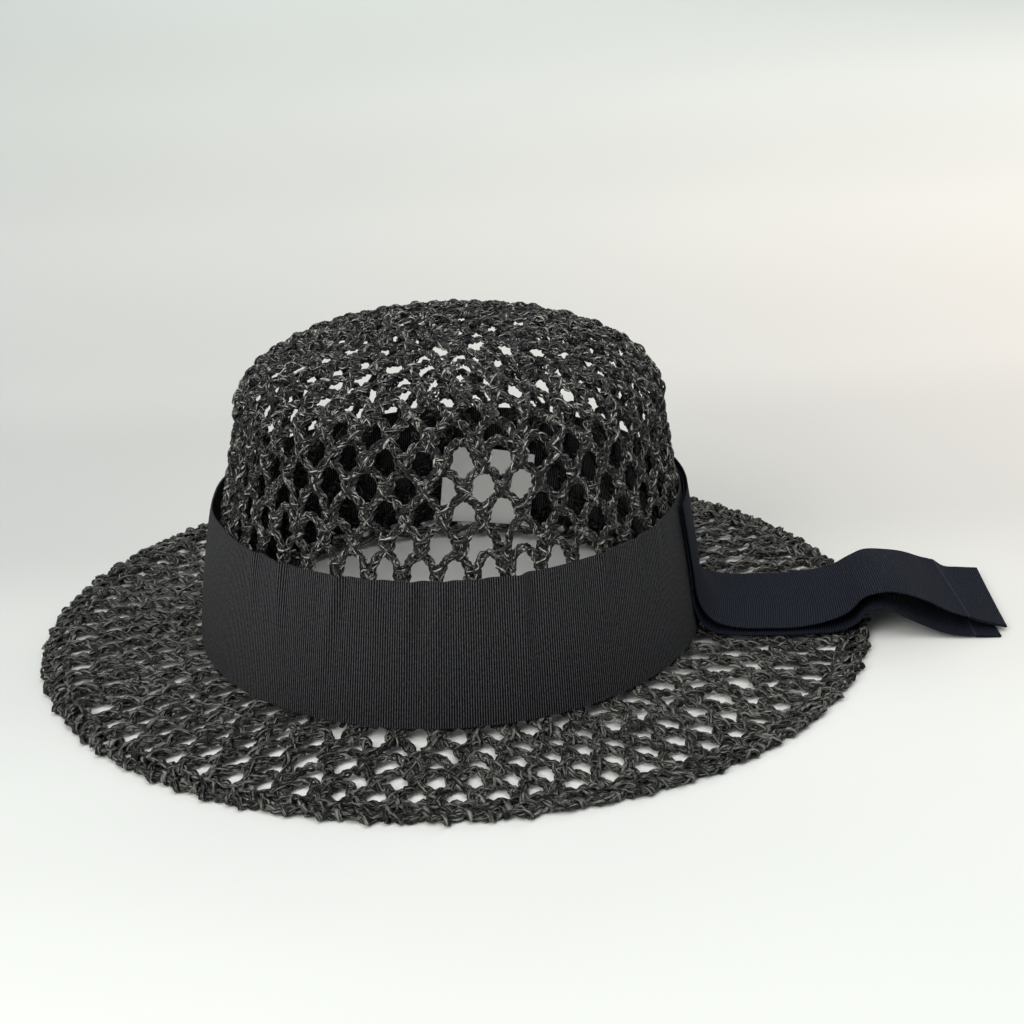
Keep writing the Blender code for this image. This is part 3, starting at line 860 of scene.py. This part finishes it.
def plait(work, ground, turn, distance, draw, strands, coarse=1.0, reach=1.0, stitch=1.0, loft=1.0,
          crumple=1.0, twist=9.0, core=0.0):
    """Lays a plait of twisted strands along a closed line of angles and distances on a surface.

    Coarse, reach, stitch and loft are shares of the user's spacing, reach, stitch length and rise, and
    crumple of the usual unevenness. Twist is the length of a strand's turn, core a middle strand's width.
    """
    settings = bpy.context.scene.hat
    points, _, _ = surface(ground, turn, distance)
    run = lengths(np.vstack((points, points[:1])))
    count = max(int(run[-1] / (settings.ring_spacing / MM * coarse)), 12)
    even = np.arange(count) / count * run[-1]
    turn = np.interp(even, run, np.append(turn, turn[0] + 2 * math.pi))
    distance = np.interp(even, run, np.append(distance, distance[0]))
    points, normals, _ = surface(ground, turn, distance)
    tangents = unit(np.roll(points, -2, axis=0) - np.roll(points, 2, axis=0))
    lateral = unit(np.cross(normals, tangents))
    periods = max(round(run[-1] / (settings.stitch_length / MM * stitch)), 1)
    angle = 2 * math.pi * periods * np.arange(count) / count + uneven(draw, count, *STITCH_DRIFT)
    sway = uneven(draw, count, *SWAY)
    half = settings.plait_reach / MM * reach
    rise = settings.plait_rise / MM * loft
    for strand in range(strands):
        own = angle + 2 * math.pi * strand / strands
        side = half * np.sin(own) * (1.0 + uneven(draw, count, *SWING_CHANGE)) + sway
        up = rise * np.sin(2 * own + CROSSING_LAG) + crumple * uneven(draw, count, *RISE_CHANGE)
        line = points + lateral * side[:, None] + normals * up[:, None]
        turns = max(round(run[-1] / twist), 1) * (1 if strand % 2 else -1)
        roll = 2 * math.pi * (turns * np.arange(count) / count + draw.uniform())
        roll += crumple * uneven(draw, count, *ROLL_CHANGE)
        face = normals * np.cos(roll)[:, None] + lateral * np.sin(roll)[:, None]
        width = 1.0 + crumple * uneven(draw, count, *WIDTH_CHANGE)
        work.strand(line, face, width, YARN_LENGTH * draw.uniform())
    if core:
        middle = points + lateral * sway[:, None] - normals * CORE_DEPTH
        width = core * (1.0 + uneven(draw, count, *CORE_CHANGE))
        work.strand(middle, normals, width, YARN_LENGTH * draw.uniform())


def wraps(work, ground, spots, draw, longways, upways, loops, lean):
    """Ties short slanting loops of yarn round the places where the rounds meet.

    Longways and upways are half a loop's length and height, lean its least and most slant in degrees.
    """
    points, normals, outward = surface(ground, *spots)
    sideways = unit(np.cross(normals, outward))
    ring = 2 * math.pi * np.arange(LOOP_POINTS) / LOOP_POINTS
    for point, normal, out, side in zip(points, normals, outward, sideways):
        for loop in range(loops):
            slant = math.radians(draw.uniform(*lean)) * (1 if loop % 2 else -1)
            along = out * math.cos(slant) + side * math.sin(slant)
            across = side * math.cos(slant) - out * math.sin(slant)
            aside, ahead = draw.uniform(-LOOP_SHIFT, LOOP_SHIFT), draw.uniform(-LOOP_SHIFT, LOOP_SHIFT)
            middle = point + across * aside + out * ahead
            line = (middle + np.outer(np.cos(ring), along) * longways * draw.uniform(0.85, 1.1)
                    + np.outer(np.sin(ring), normal) * upways * draw.uniform(0.9, 1.1)
                    + np.outer(np.sin(ring + CROSSING_LAG), across) * LOOP_SKEW)
            face = unit(np.outer(np.cos(ring), along) * 0.6 + np.outer(np.sin(ring), normal)
                        + np.outer(draw.uniform(-0.45, 0.45, LOOP_POINTS), across))
            width = 1.0 + draw.uniform(-0.15, 0.2, LOOP_POINTS)
            work.strand(line, face, width, YARN_LENGTH * draw.uniform())


def dress(piece, node):
    """Puts a piece on the hat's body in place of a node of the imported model."""
    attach(piece, "root")
    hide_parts(node)


class HAT_OT_crown_net(Operator):
    """Knots the crown's net in rounds from the foot up to the tip"""

    bl_idname = "hat.crown_net"
    bl_label = "Crown net"

    def execute(self, context):
        settings = context.scene.hat
        draw = np.random.default_rng(settings.seed)
        wall, side, top = YarnWork(), YarnWork(), YarnWork()
        before = None
        for index, (distance, arches) in enumerate(CROWN_ROUNDS):
            hidden = index < HIDDEN_ROUNDS
            high = index >= SIDE_ROUNDS
            work = wall if hidden else (top if high else side)
            current = Round(
                distance, arches, before, draw, CROWN_RUN - CROWN_START, CROWN_GAP, CROWN_JITTER)
            plait(
                work, CROWN_WALL, current.turn, current.distance, draw, strands=3 if hidden else 4,
                coarse=1.8 if hidden else 1.0, reach=TOP_BAR if high else CROWN_BAR, stitch=0.66,
                loft=1.3 if high else 1.0, crumple=0.6, twist=14.0)
            wraps(
                work, CROWN_WALL, (current.feet, current.standing), draw, longways=3.1,
                upways=1.8 if high else 1.35, loops=1 if hidden else 2, lean=(25, 55))
            wraps(
                work, CROWN_WALL, (current.feet, current.parting), draw, longways=2.4, upways=1.25, loops=1,
                lean=(70, 95))
            before = current
        around = np.linspace(0, 2 * math.pi, TIP_POINTS, endpoint=False)
        for distance in TIP_ROUNDS:
            plait(top, CROWN_WALL, around, np.full(TIP_POINTS, distance), draw, strands=4, reach=TIP_BAR)
        # The rounds behind the band take the yarn painted darker as shade
        for name, work, material in (
                ("crown_net_wall", wall, shaded_inner_yarn()),
                ("crown_net_side", side, crown_yarn()),
                ("crown_net_top", top, crown_yarn())):
            piece = work.finish(
                name, 4, settings.yarn_width, settings.yarn_thickness, material, smooth=False)
            dress(piece, "crown")
        return {"FINISHED"}


class HAT_OT_brim_net(Operator):
    """Knots the brim's net in rounds from the edge in to the head opening"""

    bl_idname = "hat.brim_net"
    bl_label = "Brim net"

    def execute(self, context):
        settings = context.scene.hat
        draw = np.random.default_rng(settings.seed + 1)
        outer, inner = YarnWork(), YarnWork()
        before = None
        for index, (share, arches) in enumerate(BRIM_ROUNDS):
            work = outer if index < OUTER_ROUNDS else inner
            current = Round(share, arches, before, draw, BRIM_START, BRIM_GAP, BRIM_JITTER)
            plait(
                work, BRIM_SHEET, current.turn, current.distance, draw, strands=3, reach=BRIM_BAR,
                stitch=0.8, crumple=0.5, twist=16.0)
            wraps(
                work, BRIM_SHEET, (current.feet, current.standing), draw, longways=3.8, upways=1.3, loops=2,
                lean=(10, 40))
            wraps(
                work, BRIM_SHEET, (current.feet, current.parting), draw, longways=3.2, upways=1.1, loops=1,
                lean=(40, 65))
            before = current
        around = np.linspace(0, 2 * math.pi, OPENING_POINTS, endpoint=False)
        plait(
            inner, BRIM_SHEET, around, np.full(OPENING_POINTS, OPENING_SHARE), draw, strands=3, crumple=0.5,
            twist=14.0, core=1.1)
        for name, work in (("brim_net_outer", outer), ("brim_net_inner", inner)):
            piece = work.finish(
                name, 5, settings.soft_width, settings.soft_thickness, brim_yarn(), smooth=True)
            dress(piece, "brim")
        return {"FINISHED"}


class HAT_OT_brim_edge(Operator):
    """Works the dense knobbly ropes along the brim's rim"""

    bl_idname = "hat.brim_edge"
    bl_label = "Brim edge"

    def execute(self, context):
        settings = context.scene.hat
        draw = np.random.default_rng(settings.seed + 2)
        work = YarnWork()
        turn = np.linspace(0, 2 * math.pi, EDGE_POINTS, endpoint=False)
        scallops = np.abs(np.sin(turn * EDGE_SCALLOPS / 2 + uneven(draw, EDGE_POINTS, 0.6, 28.0)))
        for inward, reach, stitch, wave in EDGE_ROPES:
            wander = inward - scallops * wave + uneven(draw, EDGE_POINTS, 0.3, 18.0)
            plait(
                work, EDGE_ROPE, turn, wander, draw, strands=3, reach=reach, stitch=stitch, loft=1.6,
                crumple=0.5, twist=14.0, core=1.0)
        for inward, wave, longways, upways in EDGE_LOOPS:
            spots = 2 * math.pi * (np.arange(EDGE_KNOBS) + draw.uniform(-0.3, 0.3, EDGE_KNOBS)) / EDGE_KNOBS
            places = inward - wave * np.interp(spots, turn, scallops, period=2 * math.pi)
            wraps(work, EDGE_ROPE, (spots, places), draw, longways, upways, loops=1, lean=(20, 60))
        piece = work.finish(
            "brim_edge_yarn", 5, settings.thick_width, settings.thick_thickness, brim_yarn(), smooth=True)
        dress(piece, "brim_edge")
        return {"FINISHED"}


def cloth_grid(name, places, sizes, thickness, material):
    """A sheet from rows of points: a bmesh grid moved to its places, with a UV map in metres and a wall."""
    rows, columns = places.shape[:2]
    work = bmesh.new()
    layer = work.loops.layers.uv.new("ribbon")
    bmesh.ops.create_grid(work, x_segments=columns - 1, y_segments=rows - 1, size=0.5)
    spots = {}
    for vertex in work.verts:
        column = round((vertex.co.x + 0.5) * (columns - 1))
        row = round((vertex.co.y + 0.5) * (rows - 1))
        spots[vertex] = (row, column)
    for face in work.faces:
        face.smooth = True
        for corner in face.loops:
            corner[layer].uv = sizes[spots[corner.vert]]
    for vertex, spot in spots.items():
        vertex.co = places[spot]
    for edge in work.edges:
        edge.smooth = not edge.is_boundary
    mesh = bpy.data.meshes.new(name)
    work.to_mesh(mesh)
    work.free()
    made = add_piece(name, mesh, material)
    wall = made.modifiers.new("wall", "SOLIDIFY")
    wall.thickness = thickness * MM
    wall.offset = 0.0
    return made


def measured(places):
    """Each grid point's UV place in metres: distance down the rows and across the columns."""
    down = np.zeros(places.shape[:2])
    down[1:] = np.cumsum(np.linalg.norm(np.diff(places, axis=0), axis=2), axis=0)
    across = np.zeros(places.shape[:2])
    across[:, 1:] = np.cumsum(np.linalg.norm(np.diff(places, axis=1), axis=2), axis=1)
    down[:] = down.mean(axis=1, keepdims=True)
    return np.stack((down, across), axis=-1)


class HAT_OT_band(Operator):
    """Lays the wide ribbon band round the crown, a little slack and puckered along its top edge"""

    bl_idname = "hat.band"
    bl_label = "Ribbon band"

    def execute(self, context):
        turn = np.linspace(0, 2 * math.pi, BAND_ROWS)
        degrees = np.degrees(turn)
        slack = np.interp(degrees, [r[0] for r in BAND_SLACK], [r[1] for r in BAND_SLACK])
        belly = np.interp(degrees, [r[0] for r in BAND_SLACK], [r[2] for r in BAND_SLACK])
        draw = np.random.default_rng(context.scene.hat.seed + 3)
        pucker = uneven(draw, BAND_ROWS - 1, 1.0, 15.0) + uneven(draw, BAND_ROWS - 1, 0.5, 7.0)
        pucker = np.append(pucker, pucker[0]) * (turn > PUCKER_FROM) * (turn < PUCKER_TO)
        places = np.zeros((BAND_ROWS, BAND_COLUMNS, 3))
        for column in range(BAND_COLUMNS):
            share = column / (BAND_COLUMNS - 1)
            off = BAND_OFF + (slack + BAND_PUCKER * pucker) * share ** 2
            off = off + belly * math.sin(math.pi * share) ** 0.7
            down = BAND_HEIGHT * (1 - share)
            for spot, height, reach, lean in BAND_FOLDS:
                beside = (degrees - spot - lean * down / reach) * math.radians(1.0) * CROWN_HALF_WIDTH
                fade = max(1 - down / reach, 0.0)
                hollow = (beside - HOLLOW_BESIDE) / HOLLOW_WIDTH
                off = off + height * np.exp(-(beside / FOLD_WIDTH) ** 2) * fade
                off = off - HOLLOW_SHARE * height * np.exp(-hollow ** 2) * fade
            places[:, column] = crown_off(turn, BAND_FOOT + BAND_HEIGHT * share, off)
        places = to_frame(places)
        piece = cloth_grid("ribbon_band", places, measured(places), BAND_WALL, band_ribbon())
        dress(piece, "hat_band")
        return {"FINISHED"}


def tail_places(hang, hang_off, table, hem):
    """A smooth grid of points through a tail's stations, its end folded under in a pressed hem."""
    stations = []
    for height, near, far in hang:
        width = crown_at(height, 2) + hang_off
        turns = np.arcsin(np.array([near, (near + far) / 2, far]) / width)
        stations.append(crown_off(turns, height, np.full(3, hang_off)))
    for row in table:
        spots = np.array(row).reshape(3, 3)
        stations.append(spots + np.array((CROWN_HALF_LENGTH, 0.0, 0.0)))
    stations = np.array(stations)
    run = lengths(stations[:, 1])
    slopes = np.gradient(stations, run, axis=0)
    spots = np.linspace(0, run[-1], TAIL_ROWS)
    index = np.clip(np.searchsorted(run, spots, side="right") - 1, 0, len(run) - 2)
    gap = (run[index + 1] - run[index])[:, None, None]
    share = (spots - run[index])[:, None, None] / gap
    passed = 3 * share ** 2 - 2 * share ** 3
    line = (stations[index] * (1 - passed) + stations[index + 1] * passed
            + slopes[index] * gap * (share ** 3 - 2 * share ** 2 + share)
            + slopes[index + 1] * gap * (share ** 3 - share ** 2))
    near, middle, far = line[:, 0], line[:, 1], line[:, 2]
    control = middle * 2 - (near + far) / 2
    across = np.linspace(0, 1, TAIL_COLUMNS)[None, :, None]
    grid = (near[:, None] * (1 - across) ** 2 + control[:, None] * 2 * across * (1 - across)
            + far[:, None] * across ** 2)
    from_end = run[-1] - hem - spots
    ridge = np.where(from_end > 0, 1 - from_end / HEM_RISE, 1 + from_end / HEM_FALL)
    grid[:, :, 2] += HEM_RIDGE * np.maximum(ridge, 0.0)[:, None]
    along = unit(np.gradient(grid, axis=0))
    upward = unit(np.cross(np.gradient(grid, axis=1), along))
    upward *= np.sign(upward[-1, TAIL_COLUMNS // 2, 2])
    fold = [
        grid[-1] + along[-1] * HEM_FOLD * math.sin(turn) - upward[-1] * HEM_FOLD * (1 - math.cos(turn))
        for turn in np.linspace(0, math.pi, HEM_STEPS + 1)[1:]]
    back = np.nonzero(spots > run[-1] - hem)[0][-2::-1]
    under = grid[back] - upward[back] * 2 * HEM_FOLD
    return np.concatenate((grid, fold, under))


class HAT_OT_tails(Operator):
    """Lays the two ribbon tails down the band, over the brim and onto the table"""

    bl_idname = "hat.tails"
    bl_label = "Ribbon tails"

    def execute(self, context):
        for name, node, hang, off, table, hem in (
                ("ribbon_tail_upper", "tail_upper", UPPER_HANG, UPPER_HANG_OFF, UPPER_TAIL, UPPER_HEM),
                ("ribbon_tail_lower", "tail_lower", LOWER_HANG, LOWER_HANG_OFF, LOWER_TAIL, LOWER_HEM)):
            places = to_frame(tail_places(hang, off, table, hem))
            sizes = measured(places)
            crease = float(sizes[TAIL_ROWS - 1, 0, 0]) - hem * MM
            piece = cloth_grid(name, places, sizes, TAIL_WALL, tail_ribbon(name, crease))
            dress(piece, node)
        return {"FINISHED"}


class HAT_OT_label(Operator):
    """Hangs the blank care label inside the crown's far wall"""

    bl_idname = "hat.label"
    bl_label = "Care label"

    def execute(self, context):
        corners = np.array(LABEL_CORNERS)
        places = np.zeros((LABEL_ROWS, LABEL_COLUMNS, 3))
        for row in range(LABEL_ROWS):
            down = row / (LABEL_ROWS - 1)
            for column in range(LABEL_COLUMNS):
                across = column / (LABEL_COLUMNS - 1)
                top = corners[0] * (1 - across) + corners[1] * across
                bottom = corners[3] * (1 - across) + corners[2] * across
                x, z = top * (1 - down) + bottom * down
                length, width, lean = [crown_at(z, k) for k in (1, 2, 4)]
                reach = math.sqrt(1 - ((x - lean) / (length - LABEL_OFF)) ** 2)
                bulge = LABEL_BULGE * math.sin(3.1 * across + 1.2) * down
                places[row, column] = (x, (width - LABEL_OFF - bulge) * reach, z)
        places = to_frame(places)
        piece = cloth_grid("blank_care_label", places, measured(places), LABEL_WALL, label_cloth())
        dress(piece, "care_label")
        return {"FINISHED"}


def add_camera(scene):
    camera_data = bpy.data.cameras.new("camera")
    camera_data.lens = CAMERA_LENS
    camera_data.sensor_width = 36.0
    camera_data.clip_end = 20.0
    camera = bpy.data.objects.new("camera", camera_data)
    yaw, pitch, roll = [math.radians(v) for v in (CAMERA_YAW, CAMERA_PITCH, CAMERA_ROLL)]
    forward = Vector((math.sin(yaw) * math.cos(pitch), math.cos(yaw) * math.cos(pitch), -math.sin(pitch)))
    right = Vector((math.cos(yaw), -math.sin(yaw), 0.0))
    up = right.cross(forward)
    rolled_right = right * math.cos(roll) + up * math.sin(roll)
    rolled_up = up * math.cos(roll) - right * math.sin(roll)
    turn = Matrix((rolled_right, rolled_up, -forward)).transposed().to_4x4()
    camera.matrix_world = Matrix.Translation(to_frame(CAMERA_PLACE)) @ turn
    scene.collection.objects.link(camera)
    scene.camera = camera


def paper_sweep():
    """The floor, curved up at its back into a backdrop."""
    work = bmesh.new()
    bmesh.ops.create_grid(work, x_segments=1, y_segments=1, size=FLOOR_HALF)
    bmesh.ops.translate(work, verts=work.verts, vec=(0.0, FLOOR_BACK - FLOOR_HALF, 0.0))
    back = [edge for edge in work.edges if all(vertex.co.y > 0.0 for vertex in edge.verts)]
    bmesh.ops.spin(
        work, geom=back, cent=(0.0, FLOOR_BACK, CURVE_RADIUS), axis=(1.0, 0.0, 0.0),
        angle=math.radians(CURVE_DEGREES), steps=24)
    top = max(vertex.co.z for vertex in work.verts)
    rim = [edge for edge in work.edges if all(vertex.co.z > top - 1e-4 for vertex in edge.verts)]
    raised = bmesh.ops.extrude_edge_only(work, edges=rim)["geom"]
    raised = [item for item in raised if isinstance(item, bmesh.types.BMVert)]
    bmesh.ops.translate(work, verts=raised, vec=BACKDROP_RISE)
    bmesh.ops.recalc_face_normals(work, faces=work.faces)
    mesh = bpy.data.meshes.new("studio_paper")
    work.to_mesh(mesh)
    work.free()
    mesh.polygons.foreach_set("use_smooth", [True] * len(mesh.polygons))
    return add_piece("studio_paper", mesh, studio_paper())


def add_light(scene, light_data, place, aim):
    light = bpy.data.objects.new(light_data.name, light_data)
    light.location = place
    light.rotation_euler = (Vector(place) - Vector(aim)).to_track_quat("Z", "Y").to_euler()
    scene.collection.objects.link(light)


class HAT_OT_stage(Operator):
    """Sets the camera at the photograph's angle, the pale floor and backdrop, and the soft lights"""

    bl_idname = "hat.stage"
    bl_label = "Stage"

    def execute(self, context):
        scene = context.scene
        add_camera(scene)
        floor = paper_sweep()
        for name, place, aim, size, power, tint in SOFTBOXES:
            softbox = bpy.data.lights.new(name, "AREA")
            softbox.shape = "SQUARE"
            softbox.size = size
            softbox.energy = power
            softbox.color = tint
            add_light(scene, softbox, place, aim)
        beam = bpy.data.lights.new("crown_spot", "SPOT")
        beam.energy = SPOT_POWER
        beam.spot_size = math.radians(SPOT_SPREAD)
        beam.spot_blend = SPOT_BLEND
        beam.shadow_soft_size = SPOT_RADIUS
        add_light(scene, beam, SPOT_PLACE, SPOT_AIM)
        world = bpy.data.worlds.new("studio_air")
        world.use_nodes = True
        air = world.node_tree.nodes["Background"]
        air.inputs["Color"].default_value = AIR_TINT
        air.inputs["Strength"].default_value = AIR_STRENGTH
        scene.world = world
        scene.view_settings.view_transform = "Standard"
        return {"FINISHED"}


class HAT_PT_panel(Panel):
    """The hat's sizes, colours and pieces in the 3D view's sidebar"""

    bl_idname = "HAT_PT_panel"
    bl_label = "Boater hat"
    bl_space_type = "VIEW_3D"
    bl_region_type = "UI"
    bl_category = "Boater hat"

    def draw(self, context):
        settings = context.scene.hat
        for key in HatSettings.__annotations__:
            self.layout.prop(settings, key)
        for piece in OPERATORS:
            self.layout.operator(piece.bl_idname)


OPERATORS = (
    HAT_OT_stage,
    HAT_OT_crown_net,
    HAT_OT_brim_net,
    HAT_OT_brim_edge,
    HAT_OT_band,
    HAT_OT_tails,
    HAT_OT_label,
)
CLASSES = (HatSettings, *OPERATORS, HAT_PT_panel)


def register():
    for made in CLASSES:
        bpy.utils.register_class(made)
    bpy.types.Scene.hat = PointerProperty(type=HatSettings)


def unregister():
    del bpy.types.Scene.hat
    for made in reversed(CLASSES):
        bpy.utils.unregister_class(made)


def main():
    register()
    for piece in OPERATORS:
        group, name = piece.bl_idname.split(".")
        getattr(getattr(bpy.ops, group), name)()


if __name__ == "__main__":
    main()
